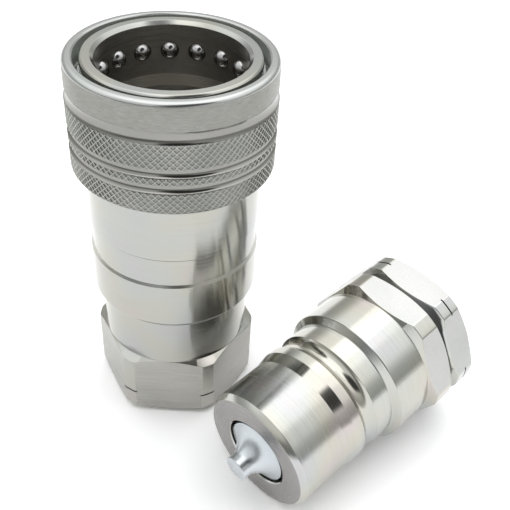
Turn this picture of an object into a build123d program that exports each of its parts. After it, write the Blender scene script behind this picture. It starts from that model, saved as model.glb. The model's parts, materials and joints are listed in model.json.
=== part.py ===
"""Quick coupling for a coolant line: a socket with a ball lock, and the plug that goes with it.

The socket stands on its threaded end and the plug lies beside it on its nose and its main body.
Each half shuts itself with a sprung poppet valve. Sizes are in millimetres. The origin is on the
socket's axis in the face of its threaded end, and Z is up the socket.
"""
import os
from math import atan, cos, radians, sin, sqrt, tan

from build123d import *

os.makedirs("parts", exist_ok=True)

# The fit between the halves
nose_r = 17.15            # sealing nose of the plug, 34.3 mm across
shoulder_step = 0.80      # shoulder and rear collar stand above the nose, each side of the ball groove
mouth_clearance = 0.10    # the shoulder in the socket's mouth
seal_bore_clearance = 0.10
groove_radius = 2.90      # section of the ball groove
groove_depth = 1.60       # below the shoulder

# Locking balls
ball_r = 2.38125          # balls of 3/16 in
ball_count = 16
ball_clock = 8.1          # angle of the first ball, in degrees
ball_bite = 1.60          # how far a seated ball stands into the mouth
ball_hole_clearance = 0.08
ball_lip_start = 0.15     # tapered lip that keeps a ball from falling in
ball_lip_depth = 0.50
ball_lip_narrowing = 0.15
ball_lift = 1.50

# Release sleeve, from its top down
sleeve_proud = 0.20       # above the rim of the body
collar_height = 6.70
cove_height = 3.10
cove_depth = 1.00
upper_knurl_height = 6.40
middle_knurl_height = 1.84
lower_knurl_height = 5.60
knurl_rise = 0.25         # above the collar
knurl_groove_width = 2.28
knurl_groove_wall = 0.50
knurl_groove_depth = 1.00
collar_wall = 2.55
sleeve_rim_round = 0.90
sleeve_rim_break = 0.35
sleeve_skirt_break = 0.55
sleeve_travel = 6.00
sleeve_fit = 0.08
relief_clearance = 0.14
land_length = 3.50        # cylinder that holds the balls in
land_cover = 0.40         # how far the land reaches above the balls' centres
stop_step = 0.57          # step that meets the retaining ring
stop_gap = 0.10
sleeve_guide_length = 2.80

# Socket body
front_body_height = 44.60
rim_bevel = 0.88          # bevel into the mouth
rim_outer_bevel = 0.90
ball_drop = 7.70          # rim to the ball centres
body_wall = 3.35          # between the mouth and the sleeve's land
mouth_depth = 14.00       # rim to the start of the cone
mouth_cone_length = 3.00
spring_seat_width = 0.95
spring_seat_rise = 0.20   # above the sleeve's guide
seat_depth = 33.70        # rim to the face that the plug's nose comes up to
nose_seal_rise = 6.20     # above that face
spigot_length = 19.40
spigot_step = 3.00        # barrel to spigot
spigot_wall = 3.15
thread_play = 0.05

# Retaining ring on the socket body
ring_wire_r = 0.80
ring_sink = 0.60          # how far the wire sits in its groove
ring_drop = 3.65          # rim to the ring's centre
ring_gap = 11.0           # degrees
ring_gap_clock = 139.0
ring_groove_clearance = 0.05

# Ports, bored for the tap of a 1 in taper pipe thread
port_r = 14.70
port_depth = 19.00
port_mouth_flare = 2.30
port_mouth_bevel = 1.10
port_wall = 5.80          # bore to flat, which gives the 41 mm hexagons
flow_step = 0.60          # passage behind a port

# Socket adapter, with the hexagon and the lower half of the barrel
seam_z = 59.40
band_height = 8.60        # shallow band for markings, left bare
band_sink = 0.25          # below the upper barrel
lower_barrel_rise = 0.25  # above the upper barrel
lower_barrel_length = 21.20
neck_cone_length = 2.60
neck_step = 0.10          # below the flats
socket_hex_turning = 2.25 # turned corners above the flats
socket_hex_shoulder_z = 19.80
socket_foot_rim = 4.10    # bore to the edge of the foot
socket_clock = 13.74      # a corner of the hexagon, in degrees from X
tick_width = 0.35
tick_depth = 0.20
socket_tick_z = 7.80
socket_flow_cone_length = 8.00

# Nose seal and joint seals
nose_seal_section = 3.00
nose_seal_squeeze = 0.25
backup_width = 1.30
seal_side_room = 0.35
joint_seal_section = 1.78
joint_seal_set_back = 3.20
seal_seat_gap = 0.02

# Valves, alike in both halves, measured inward from the face that the halves share
valve_hole_r = 9.60
valve_land = 1.60
pin_r = 3.35
pin_reach = 6.90
pin_length = 2.20
pin_bevel = 0.30
flare_foot = 0.40
flare_sag = 0.90          # the flare is hollow, from the pin to the face
poppet_hole_gap = 0.30
poppet_seat_gap = 0.25
poppet_overlap = 1.60     # rim of the head beyond the hole
poppet_rim_length = 1.10
poppet_back_bevel = 0.90
spring_boss_rise = 2.10   # boss above the stem
spring_boss_length = 2.00
stem_r = 3.50
stem_overrun = 1.00
stem_bevel = 0.40
stem_play = 0.06
valve_seal_section = 1.60
valve_seal_stand = 0.15
valve_travel = 7.00
guide_thickness = 3.00
guide_hub_wall = 1.90
guide_hub_reach = 8.00
guide_arm_width = 3.00
guide_arms = 3
guide_play = 0.05

# Springs
sleeve_spring_wire = 1.50
sleeve_spring_room = 0.40
sleeve_spring_turns = 3
valve_spring_wire = 1.30
valve_spring_room = 0.35  # round the boss
socket_valve_spring_turns = 6
plug_valve_spring_turns = 8
spring_end_gap = 0.05

# Plug body, from its nose back
plug_nose_rim = 1.10
plug_nose_bevel = 1.50
nose_length = 16.10
nose_cone_length = 3.20
shoulder_length = 2.95
rear_collar_length = 6.05
flank_length = 1.40
main_body_length = 11.57
plug_body_step = 0.45     # main body below the flats
plug_hex_turning = 2.05
plug_hex_length = 6.30
plug_hex_gap = 3.40
adapter_hex_length = 6.40
adapter_end_bevel = 1.20
plug_tick = 3.45          # from the front of the rear hexagon
plug_chamber_room = 2.10  # round the valve head
plug_thread_wall = 1.85
plug_guide_step = 1.70
plug_spigot_length = 14.40

# How the plug lies
plug_nose_x = -15.32
plug_nose_y = -50.14
plug_hex_roll = 4.24

# Radii of the socket, from the mouth outward
shoulder_r = nose_r + shoulder_step
groove_bottom_r = shoulder_r - groove_depth
mouth_r = shoulder_r + mouth_clearance
seal_bore_r = nose_r + seal_bore_clearance
ball_centre_r = mouth_r - ball_bite + ball_r
ball_hole_r = ball_r + ball_hole_clearance
body_guide_r = mouth_r + body_wall
land_r = body_guide_r + sleeve_fit
stop_bore_r = land_r + stop_step
relief_r = ball_centre_r + ball_r + ball_lift + relief_clearance
sleeve_r = relief_r + collar_wall
knurl_r = sleeve_r + knurl_rise
groove_wall_r = knurl_r - knurl_groove_wall
sleeve_groove_r = sleeve_r - knurl_groove_depth
spring_chamber_r = body_guide_r + sleeve_spring_wire + sleeve_spring_room
barrel_r = body_guide_r + spring_seat_width
lower_barrel_r = barrel_r + lower_barrel_rise
band_r = barrel_r - band_sink
spigot_r = barrel_r - spigot_step
spigot_bore_r = spigot_r + thread_play
socket_chamber_r = spigot_r - spigot_wall
ring_r = body_guide_r + ring_wire_r - ring_sink
ring_groove_r = ring_r - ring_wire_r - ring_groove_clearance
ring_groove_half = ring_wire_r + ring_groove_clearance

# Radii of the hexagon ends
bevel_slope = tan(radians(60))   # turned corners of a hexagon, 30 degrees off its face
flats_r = port_r + port_wall     # 20.5, for 41 mm across the flats
port_mouth_r = port_r + port_mouth_flare
flow_r = port_r - flow_step
socket_hex_turned_r = flats_r + socket_hex_turning
socket_foot_r = port_r + socket_foot_rim
neck_r = flats_r - neck_step
plug_hex_turned_r = flats_r + plug_hex_turning
plug_body_r = flats_r - plug_body_step
plug_thread_r = plug_body_r - plug_thread_wall
plug_guide_r = plug_thread_r - plug_guide_step

# Heights of the socket
rim_z = seam_z + front_body_height
ball_z = rim_z - ball_drop
ring_z = rim_z - ring_drop
sleeve_top_z = rim_z + sleeve_proud
collar_base_z = sleeve_top_z - collar_height
cove_base_z = collar_base_z - cove_height
upper_knurl_base_z = cove_base_z - upper_knurl_height
middle_knurl_top_z = upper_knurl_base_z - knurl_groove_width
middle_knurl_base_z = middle_knurl_top_z - middle_knurl_height
lower_knurl_top_z = middle_knurl_base_z - knurl_groove_width
sleeve_base_z = lower_knurl_top_z - lower_knurl_height
guide_top_z = sleeve_base_z + sleeve_guide_length
spring_seat_z = guide_top_z + spring_seat_rise
land_top_z = ball_z + land_cover
land_base_z = land_top_z - land_length
stop_z = ring_z - ring_wire_r - stop_gap
seat_face_z = rim_z - seat_depth
nose_seal_z = seat_face_z + nose_seal_rise
band_foot_z = seam_z - band_height
barrel_foot_z = seam_z - lower_barrel_length
neck_top_z = barrel_foot_z - neck_cone_length
neck_base_z = socket_hex_shoulder_z + (socket_hex_turned_r - neck_r) / bevel_slope
spigot_end_z = seam_z - spigot_length
guide_ledge_z = spigot_end_z - guide_thickness
socket_guide_s = seat_face_z - spigot_end_z

# Seals
nose_seal_r = nose_r - nose_seal_squeeze + nose_seal_section / 2
seal_groove_r = nose_seal_r + nose_seal_section / 2 + seal_seat_gap
seal_groove_half = (nose_seal_section + backup_width + seal_side_room) / 2
seal_groove_floor_z = nose_seal_z - seal_groove_half
seal_groove_top_z = nose_seal_z + seal_groove_half
nose_seal_centre_z = seal_groove_floor_z + nose_seal_section / 2 + seal_side_room / 2
joint_groove_half = joint_seal_section * 0.70
joint_groove_depth = joint_seal_section + 2 * seal_seat_gap
socket_joint_z = seam_z - joint_seal_set_back
socket_joint_groove_r = spigot_bore_r - joint_groove_depth

# Valve heads
poppet_face_r = valve_hole_r - poppet_hole_gap
poppet_rim_r = valve_hole_r + poppet_overlap
plug_chamber_r = poppet_rim_r + plug_chamber_room
poppet_cone = valve_hole_r - valve_land - poppet_seat_gap * sqrt(2)   # radius less height on its cone
poppet_back = poppet_rim_r - poppet_cone + poppet_rim_length + poppet_back_bevel
valve_seal_depth = (valve_seal_section / 2 - valve_seal_stand) / sqrt(2)
valve_seal_r = (poppet_face_r + poppet_rim_r) / 2 - valve_seal_depth
valve_seal_s = (poppet_face_r + poppet_rim_r) / 2 - poppet_cone + valve_seal_depth
guide_hub_r = stem_r + guide_hub_wall
spring_boss_r = stem_r + spring_boss_rise
valve_spring_r = max(spring_boss_r, guide_hub_r) + valve_spring_room + valve_spring_wire / 2

# Stations along the plug, from its nose face
shoulder_start = nose_length + nose_cone_length
shoulder_end = shoulder_start + shoulder_length
groove_half = sqrt(groove_radius**2 - (groove_radius - groove_depth) ** 2)
collar_start = shoulder_end + 2 * groove_half
collar_end = collar_start + rear_collar_length
body_front = collar_end + flank_length
body_rear = body_front + main_body_length
plug_hex_front = body_rear + (plug_hex_turned_r - plug_body_r) / bevel_slope
plug_hex_rear = plug_hex_front + plug_hex_length
plug_seam = plug_hex_rear + plug_hex_gap / 2
seam_groove_r = plug_hex_turned_r - plug_hex_gap / 2 * bevel_slope
adapter_hex_front = plug_hex_rear + plug_hex_gap
adapter_hex_rear = adapter_hex_front + adapter_hex_length
plug_length = adapter_hex_rear + adapter_end_bevel
plug_guide_end = plug_seam - plug_spigot_length
plug_guide_s = plug_guide_end - guide_thickness
plug_joint_s = plug_seam - joint_seal_set_back
plug_joint_groove_r = plug_thread_r - joint_groove_depth

# The plug rests on the front edges of its nose and of its main body
plug_tilt = atan((plug_body_r - nose_r) / (body_front - plug_nose_bevel))
plug_nose_z = nose_r * cos(plug_tilt) - plug_nose_bevel * sin(plug_tilt)
plug_axis = Vector(cos(plug_tilt), 0, sin(plug_tilt))

# Base planes: Z runs from the face that the halves share into each half
socket_valve_base = Plane(origin=(0, 0, seat_face_z), x_dir=(1, 0, 0), z_dir=(0, 0, -1))
plug_base = Plane(origin=(plug_nose_x, plug_nose_y, plug_nose_z), x_dir=(0, 1, 0), z_dir=plug_axis)
ground = Plane.XY
plug_turning_axis = Axis(plug_base.origin, plug_base.z_dir)


def section_of(base):
    """The plane that holds a base plane's X and Z, for sections of turned parts."""
    return Plane(origin=base.origin, x_dir=base.x_dir, z_dir=-base.y_dir)


def turn(base, outline, mode=Mode.ADD):
    """Turn an outline of (radius, height) points about a base plane's Z axis."""
    with BuildSketch(section_of(base)) as section:
        with BuildLine():
            Polyline(*outline, close=True)
        make_face()
    revolve(section.sketch, axis=Axis(base.origin, base.z_dir), mode=mode)


def turn_ring(base, ring_radius, height, section_radius, mode=Mode.ADD, arc=360):
    """Turn a round section into a ring about a base plane's Z axis."""
    with BuildSketch(section_of(base)) as section:
        with Locations((ring_radius, height)):
            Circle(section_radius)
    revolve(section.sketch, axis=Axis(base.origin, base.z_dir), revolution_arc=arc, mode=mode)


def hexagon(base, start, end, clock):
    """Cut what has been turned back to a hexagon between two heights."""
    with BuildSketch(base.offset(start)) as flats:
        Circle(2 * flats_r)
        RegularPolygon(flats_r, 6, major_radius=False, rotation=clock, mode=Mode.SUBTRACT)
    extrude(flats.sketch, amount=end - start, mode=Mode.SUBTRACT)


def hexagon_ticks(base, height, corner_r):
    """A fine groove across each turned corner of a hexagon."""
    with BuildSketch(base.offset(height - tick_width / 2)) as tick:
        Circle(corner_r + 1)
        Circle(corner_r - tick_depth, mode=Mode.SUBTRACT)
    extrude(tick.sketch, amount=tick_width, mode=Mode.SUBTRACT)


def coil(base, start, end, coil_r, wire, turns):
    """A compression spring between two faces on a base plane's Z axis."""
    first = start + wire / 2 + spring_end_gap
    rise = end - start - wire - 2 * spring_end_gap
    with BuildPart() as spring:
        with BuildLine() as path:
            Helix(rise / turns, rise, coil_r, center=base.offset(first).origin, direction=base.z_dir)
        with BuildSketch(Plane(origin=path.line @ 0, z_dir=path.line % 0)) as section:
            Circle(wire / 2)
        sweep(section.sketch, path=path.line)
    return spring.part


def finish(piece, name):
    """Name a piece and write it."""
    piece.label = name
    export_step(piece, f"parts/{name}.step")


def poppet(base, guide_start):
    """A valve head with its pin, its stem and the groove for its seal."""
    with BuildSketch(section_of(base)) as section:
        with BuildLine():
            Polyline(
                (0, -pin_reach),
                (pin_r - pin_bevel, -pin_reach),
                (pin_r, pin_bevel - pin_reach),
                (pin_r, pin_length - pin_reach),
            )
            SagittaArc((pin_r, pin_length - pin_reach), (poppet_face_r, flare_foot), flare_sag)
            Polyline(
                (poppet_face_r, flare_foot),
                (poppet_face_r, poppet_face_r - poppet_cone),
                (poppet_rim_r, poppet_rim_r - poppet_cone),
                (poppet_rim_r, poppet_back - poppet_back_bevel),
                (poppet_rim_r - poppet_back_bevel, poppet_back),
                (spring_boss_r, poppet_back),
                (spring_boss_r, poppet_back + spring_boss_length),
                (stem_r, poppet_back + spring_boss_length),
                (stem_r, guide_start + guide_thickness + stem_overrun - stem_bevel),
                (stem_r - stem_bevel, guide_start + guide_thickness + stem_overrun),
                (0, guide_start + guide_thickness + stem_overrun),
                (0, -pin_reach),
            )
        make_face()
    revolve(section.sketch, axis=Axis(base.origin, base.z_dir))
    turn_ring(base, valve_seal_r, valve_seal_s, valve_seal_section / 2 + seal_seat_gap, mode=Mode.SUBTRACT)


def stem_guide(base, start, outer_r, inner_r):
    """A ring, three arms and the hub that a stem slides in."""
    with BuildSketch(base.offset(start)) as plan:
        Circle(outer_r)
        Circle(inner_r, mode=Mode.SUBTRACT)
        with PolarLocations((inner_r + guide_hub_r) / 2, guide_arms):
            Rectangle(inner_r - guide_hub_r + 2, guide_arm_width)
        Circle(guide_hub_r)
    extrude(plan.sketch, amount=guide_thickness)
    with BuildSketch(base.offset(start - guide_hub_reach)) as hub:
        Circle(guide_hub_r)
    extrude(hub.sketch, amount=guide_hub_reach)
    with BuildSketch(base.offset(start - guide_hub_reach)) as bore:
        Circle(stem_r + stem_play)
    extrude(bore.sketch, amount=guide_hub_reach + guide_thickness, mode=Mode.SUBTRACT)


def joint_seal(base, seam, bore_r):
    """The seal of a screwed joint, a little before the seam."""
    turn_ring(base, bore_r - seal_seat_gap - joint_seal_section / 2, seam, joint_seal_section / 2)


# Drill for one ball hole along X, with the lip that keeps the ball from falling in
ball_axis = Plane(origin=(0, 0, ball_z), x_dir=(0, 1, 0), z_dir=(1, 0, 0))
with BuildPart() as ball_drill:
    turn(
        ball_axis,
        [
            (0, mouth_r - 1),
            (ball_hole_r - ball_lip_narrowing, mouth_r - 1),
            (ball_hole_r - ball_lip_narrowing, mouth_r - ball_lip_start),
            (ball_hole_r, mouth_r - ball_lip_start + ball_lip_depth),
            (ball_hole_r, body_guide_r + 1),
            (0, body_guide_r + 1),
        ],
    )

# Socket body: mouth, ball holes, seal bore, valve seat, and the spigot that screws into the adapter
with BuildPart() as socket_body:
    turn(
        ground,
        [
            (socket_chamber_r, spigot_end_z),
            (spigot_r, spigot_end_z),
            (spigot_r, socket_joint_z - joint_groove_half),
            (socket_joint_groove_r, socket_joint_z - joint_groove_half),
            (socket_joint_groove_r, socket_joint_z + joint_groove_half),
            (spigot_r, socket_joint_z + joint_groove_half),
            (spigot_r, seam_z),
            (barrel_r, seam_z),
            (barrel_r, spring_seat_z),
            (body_guide_r, spring_seat_z),
            (body_guide_r, ring_z - ring_groove_half),
            (ring_groove_r, ring_z - ring_groove_half),
            (ring_groove_r, ring_z + ring_groove_half),
            (body_guide_r, ring_z + ring_groove_half),
            (body_guide_r, rim_z - rim_outer_bevel),
            (body_guide_r - rim_outer_bevel, rim_z),
            (mouth_r + rim_bevel, rim_z),
            (mouth_r, rim_z - rim_bevel),
            (mouth_r, rim_z - mouth_depth),
            (seal_bore_r, rim_z - mouth_depth - mouth_cone_length),
            (seal_bore_r, seal_groove_top_z),
            (seal_groove_r, seal_groove_top_z),
            (seal_groove_r, seal_groove_floor_z),
            (seal_bore_r, seal_groove_floor_z),
            (seal_bore_r, seat_face_z),
            (valve_hole_r, seat_face_z),
            (valve_hole_r, seat_face_z - valve_land),
            (socket_chamber_r, seat_face_z - valve_land - (socket_chamber_r - valve_hole_r)),
        ],
    )
    with PolarLocations(0, ball_count, start_angle=ball_clock):
        add(ball_drill.part, mode=Mode.SUBTRACT)
finish(socket_body.part, "socket_body")

# Socket adapter: port, hexagon, neck and the lower barrel with its bare band
with BuildPart() as socket_adapter:
    turn(
        ground,
        [
            (port_mouth_r, 0),
            (socket_foot_r, 0),
            (socket_hex_turned_r, (socket_hex_turned_r - socket_foot_r) / bevel_slope),
            (socket_hex_turned_r, socket_hex_shoulder_z),
            (neck_r, neck_base_z),
            (neck_r, neck_top_z),
            (lower_barrel_r, barrel_foot_z),
            (lower_barrel_r, band_foot_z),
            (band_r, band_foot_z),
            (band_r, seam_z),
            (spigot_bore_r, seam_z),
            (spigot_bore_r, guide_ledge_z),
            (socket_chamber_r, guide_ledge_z),
            (flow_r, guide_ledge_z - socket_flow_cone_length),
            (flow_r, port_depth),
            (port_r, port_depth),
            (port_r, port_mouth_bevel),
        ],
    )
    hexagon(ground, 0, neck_base_z, socket_clock)
    hexagon_ticks(ground, socket_tick_z, socket_hex_turned_r)
finish(socket_adapter.part, "socket_adapter")

# Seal of the joint between socket body and adapter
with BuildPart() as socket_joint_seal:
    joint_seal(ground, socket_joint_z, spigot_bore_r)
finish(socket_joint_seal.part, "socket_joint_seal")

# Release sleeve: collar, cove and three knurled bands outside, ball land and spring chamber inside
with BuildPart() as release_sleeve:
    with BuildSketch(section_of(ground)) as sleeve_section:
        with BuildLine():
            Polyline(
                (barrel_r + sleeve_fit, sleeve_base_z),
                (knurl_r - sleeve_skirt_break, sleeve_base_z),
                (knurl_r, sleeve_base_z + sleeve_skirt_break),
                (knurl_r, lower_knurl_top_z),
                (groove_wall_r, lower_knurl_top_z),
            )
            SagittaArc(
                (groove_wall_r, lower_knurl_top_z),
                (groove_wall_r, middle_knurl_base_z),
                groove_wall_r - sleeve_groove_r,
            )
            Polyline(
                (groove_wall_r, middle_knurl_base_z),
                (knurl_r, middle_knurl_base_z),
                (knurl_r, middle_knurl_top_z),
                (groove_wall_r, middle_knurl_top_z),
            )
            SagittaArc(
                (groove_wall_r, middle_knurl_top_z),
                (groove_wall_r, upper_knurl_base_z),
                groove_wall_r - sleeve_groove_r,
            )
            Polyline(
                (groove_wall_r, upper_knurl_base_z),
                (knurl_r, upper_knurl_base_z),
                (knurl_r, cove_base_z),
            )
            SagittaArc((knurl_r, cove_base_z), (sleeve_r, collar_base_z), cove_depth)
            Polyline(
                (sleeve_r, collar_base_z),
                (sleeve_r, sleeve_top_z - sleeve_rim_round),
            )
            RadiusArc(
                (sleeve_r, sleeve_top_z - sleeve_rim_round),
                (sleeve_r - sleeve_rim_round, sleeve_top_z),
                -sleeve_rim_round,
            )
            Polyline(
                (sleeve_r - sleeve_rim_round, sleeve_top_z),
                (relief_r + sleeve_rim_break, sleeve_top_z),
                (relief_r, sleeve_top_z - sleeve_rim_break),
                (relief_r, stop_z),
                (stop_bore_r, stop_z),
                (stop_bore_r, land_top_z + stop_bore_r - land_r),
                (land_r, land_top_z),
                (land_r, land_base_z),
                (spring_chamber_r, land_base_z),
                (spring_chamber_r, guide_top_z),
                (barrel_r + sleeve_fit, guide_top_z),
                (barrel_r + sleeve_fit, sleeve_base_z),
            )
        make_face()
    revolve(sleeve_section.sketch, axis=Axis.Z)
finish(release_sleeve.part, "release_sleeve")

# Spring under the ball land
sleeve_spring_r = body_guide_r + sleeve_spring_wire / 2 + 0.1
sleeve_spring = coil(
    ground, spring_seat_z, land_base_z, sleeve_spring_r, sleeve_spring_wire, sleeve_spring_turns
)
finish(sleeve_spring, "sleeve_spring")

# Split wire ring that stops the sleeve
with BuildPart() as sleeve_retaining_ring:
    turn_ring(
        ground.rotated((0, 0, ring_gap_clock + ring_gap / 2)), ring_r, ring_z, ring_wire_r, arc=360 - ring_gap
    )
finish(sleeve_retaining_ring.part, "sleeve_retaining_ring")

# Locking balls, each in a node of its own because each one moves outward by itself
for number in range(ball_count):
    angle = radians(ball_clock + number * 360 / ball_count)
    with BuildPart() as locking_ball:
        with Locations((ball_centre_r * cos(angle), ball_centre_r * sin(angle), ball_z)):
            Sphere(ball_r)
    finish(locking_ball.part, f"locking_ball_{number + 1:02d}")

# Seal for the plug's nose, with the backup ring between it and the mouth
with BuildPart() as bore_seal:
    turn_ring(ground, nose_seal_r, nose_seal_centre_z, nose_seal_section / 2)
finish(bore_seal.part, "bore_seal")

with BuildPart() as bore_backup_ring:
    turn(
        ground,
        [
            (seal_bore_r + seal_seat_gap, seal_groove_top_z - seal_seat_gap - backup_width),
            (seal_groove_r - seal_seat_gap, seal_groove_top_z - seal_seat_gap - backup_width),
            (seal_groove_r - seal_seat_gap, seal_groove_top_z - seal_seat_gap),
            (seal_bore_r + seal_seat_gap, seal_groove_top_z - seal_seat_gap),
        ],
    )
finish(bore_backup_ring.part, "bore_backup_ring")

# Socket valve
with BuildPart() as socket_valve:
    poppet(socket_valve_base, socket_guide_s)
finish(socket_valve.part, "socket_valve")

with BuildPart() as socket_valve_seal:
    turn_ring(socket_valve_base, valve_seal_r, valve_seal_s, valve_seal_section / 2)
finish(socket_valve_seal.part, "socket_valve_seal")

with BuildPart() as socket_valve_guide:
    stem_guide(socket_valve_base, socket_guide_s, spigot_r, socket_chamber_r)
finish(socket_valve_guide.part, "socket_valve_guide")

socket_valve_spring = coil(
    socket_valve_base, poppet_back, socket_guide_s, valve_spring_r, valve_spring_wire, socket_valve_spring_turns
)
finish(socket_valve_spring, "socket_valve_spring")

# Plug body: nose, ball groove between shoulder and collar, main body and front hexagon
with BuildPart() as plug_body:
    with BuildSketch(section_of(plug_base)) as plug_section:
        with BuildLine():
            Polyline(
                (valve_hole_r, 0),
                (nose_r - plug_nose_rim, 0),
                (nose_r, plug_nose_bevel),
                (nose_r, nose_length),
                (shoulder_r, shoulder_start),
                (shoulder_r, shoulder_end),
            )
            RadiusArc((shoulder_r, shoulder_end), (shoulder_r, collar_start), groove_radius)
            Polyline(
                (shoulder_r, collar_start),
                (shoulder_r, collar_end),
                (plug_body_r, body_front),
                (plug_body_r, body_rear),
                (plug_hex_turned_r, plug_hex_front),
                (plug_hex_turned_r, plug_hex_rear),
                (seam_groove_r, plug_seam),
                (plug_thread_r, plug_seam),
                (plug_thread_r, plug_guide_end),
                (plug_guide_r, plug_guide_end),
                (plug_guide_r, plug_guide_s),
                (plug_chamber_r, plug_guide_s),
                (plug_chamber_r, valve_land + plug_chamber_r - valve_hole_r),
                (valve_hole_r, valve_land),
                (valve_hole_r, 0),
            )
        make_face()
    revolve(plug_section.sketch, axis=plug_turning_axis)
    hexagon(plug_base, body_front + 1, plug_seam, plug_hex_roll)
finish(plug_body.part, "plug_body")

# Plug adapter: spigot, rear hexagon and port
plug_spigot_r = plug_thread_r - thread_play
with BuildPart() as plug_adapter:
    turn(
        plug_base,
        [
            (flow_r, plug_guide_end),
            (plug_spigot_r, plug_guide_end),
            (plug_spigot_r, plug_joint_s - joint_groove_half),
            (plug_joint_groove_r, plug_joint_s - joint_groove_half),
            (plug_joint_groove_r, plug_joint_s + joint_groove_half),
            (plug_spigot_r, plug_joint_s + joint_groove_half),
            (plug_spigot_r, plug_seam),
            (seam_groove_r, plug_seam),
            (plug_hex_turned_r, adapter_hex_front),
            (plug_hex_turned_r, adapter_hex_rear),
            (plug_hex_turned_r - adapter_end_bevel * bevel_slope, plug_length),
            (port_mouth_r, plug_length),
            (port_r, plug_length - port_mouth_bevel),
            (port_r, plug_length - port_depth),
            (flow_r, plug_length - port_depth),
        ],
    )
    hexagon(plug_base, plug_seam, plug_length, plug_hex_roll)
    hexagon_ticks(plug_base, adapter_hex_front + plug_tick, plug_hex_turned_r)
finish(plug_adapter.part, "plug_adapter")

with BuildPart() as plug_joint_seal:
    joint_seal(plug_base, plug_joint_s, plug_thread_r)
finish(plug_joint_seal.part, "plug_joint_seal")

# Plug valve
with BuildPart() as plug_valve:
    poppet(plug_base, plug_guide_s)
finish(plug_valve.part, "plug_valve")

with BuildPart() as plug_valve_seal:
    turn_ring(plug_base, valve_seal_r, valve_seal_s, valve_seal_section / 2)
finish(plug_valve_seal.part, "plug_valve_seal")

with BuildPart() as plug_valve_guide:
    stem_guide(plug_base, plug_guide_s, plug_guide_r - guide_play, flow_r)
finish(plug_valve_guide.part, "plug_valve_guide")

plug_valve_spring = coil(
    plug_base, poppet_back, plug_guide_s, valve_spring_r, valve_spring_wire, plug_valve_spring_turns
)
finish(plug_valve_spring, "plug_valve_spring")
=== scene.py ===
"""Looks of the quick coupling: turned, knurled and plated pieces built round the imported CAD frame."""
import json
from math import cos, pi, radians, sin, sqrt, tan

import bmesh
import bpy
import numpy as np
from mathutils import Matrix, Vector


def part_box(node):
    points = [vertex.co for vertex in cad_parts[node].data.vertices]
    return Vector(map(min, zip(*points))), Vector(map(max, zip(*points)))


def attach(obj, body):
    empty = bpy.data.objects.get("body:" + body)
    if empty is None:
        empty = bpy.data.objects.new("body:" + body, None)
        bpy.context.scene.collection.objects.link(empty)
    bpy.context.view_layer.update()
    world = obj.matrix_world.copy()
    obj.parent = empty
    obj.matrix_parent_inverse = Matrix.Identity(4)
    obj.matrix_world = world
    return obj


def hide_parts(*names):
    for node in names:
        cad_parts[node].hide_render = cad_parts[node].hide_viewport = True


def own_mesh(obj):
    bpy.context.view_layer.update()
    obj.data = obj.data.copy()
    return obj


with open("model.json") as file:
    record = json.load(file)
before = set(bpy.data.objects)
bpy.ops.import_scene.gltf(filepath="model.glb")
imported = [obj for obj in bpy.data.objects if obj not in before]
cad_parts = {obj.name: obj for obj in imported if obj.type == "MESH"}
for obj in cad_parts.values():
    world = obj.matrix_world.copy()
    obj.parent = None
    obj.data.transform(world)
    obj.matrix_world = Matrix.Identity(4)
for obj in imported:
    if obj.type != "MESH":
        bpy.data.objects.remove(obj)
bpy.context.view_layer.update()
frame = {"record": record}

# Units and fineness
MM = 0.001
TURNED_SIDES = 256
HEXAGON_SIDES = 512
VALVE_SIDES = 128
HOLE_SIDES = 48
ROUND_STEPS = 3
MERGE = 1e-6
SLIVER = 1e-7


# Sizes read from the frame, in millimetres

def extent(node):
    """Lowest and highest corners of a CAD node, in millimetres."""
    low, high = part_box(node)
    return low / MM, high / MM


mounts = {mount["name"]: mount for mount in frame["record"]["mounts"]}
body_low, body_high = extent("socket_body")
sleeve_low, sleeve_high = extent("release_sleeve")
ball_low, ball_high = extent("locking_ball_01")
rim_z = body_high.z
spigot_end_z = body_low.z
barrel_r = body_high.x
seam_z = extent("socket_adapter")[1].z
sleeve_base_z = sleeve_low.z
sleeve_top_z = sleeve_high.z
knurl_r = sleeve_high.x
ball_z = (ball_low.z + ball_high.z) / 2
ball_r = (ball_high.z - ball_low.z) / 2
port_r = mounts["socket_port"]["dims"]["r_mm"]
nose_r = mounts["plug_nose"]["dims"]["r_mm"]

# Sizes that the frame doesn't give, the same as in the CAD
flats_r = 20.50
bevel_slope = tan(radians(60))
mouth_r = 18.05
mouth_bevel = 0.88
mouth_depth = 14.00
seal_bore_r = 17.25
seal_bore_depth = 17.00
body_guide_r = 21.40
band_r = barrel_r - 0.25
lower_barrel_r = barrel_r + 0.25
spigot_r = 19.35
chamber_r = 16.20
flow_r = 14.10
port_mouth_r = 17.00
port_bevel = 1.10
port_depth = 19.00
seat_face_z = rim_z - 33.70
valve_hole_r = 9.60
valve_land = 1.60
nose_seal_z = seat_face_z + 6.20
ring_z = rim_z - 3.65
ring_r = 21.60
wire_r = 0.80
plug_length = 65.20
guide_length = 3.00
guide_ledge_z = spigot_end_z - guide_length
play = 0.08
seal_play = 0.02

# The plug's frame: X across, Z from the nose face to the port
plug_axis = Vector(mounts["plug_port"]["axis"])
plug_origin = Vector(mounts["plug_port"]["pos_m"]) - plug_axis * (plug_length - port_bevel) * MM
plug_frame = Matrix.Translation(plug_origin) @ Matrix(
    [(0, -plug_axis.z, plug_axis.x), (1, 0, 0), (0, plug_axis.x, plug_axis.z)]
).to_4x4()
ground_frame = Matrix.Identity(4)
socket_valve_frame = Matrix.Translation((0, 0, seat_face_z * MM)) @ Matrix.Rotation(pi, 4, "X")


# Shapes

def angles_round(count):
    """Evenly spaced angles of a full turn."""
    return np.linspace(0, 2 * pi, count, endpoint=False)


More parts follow.
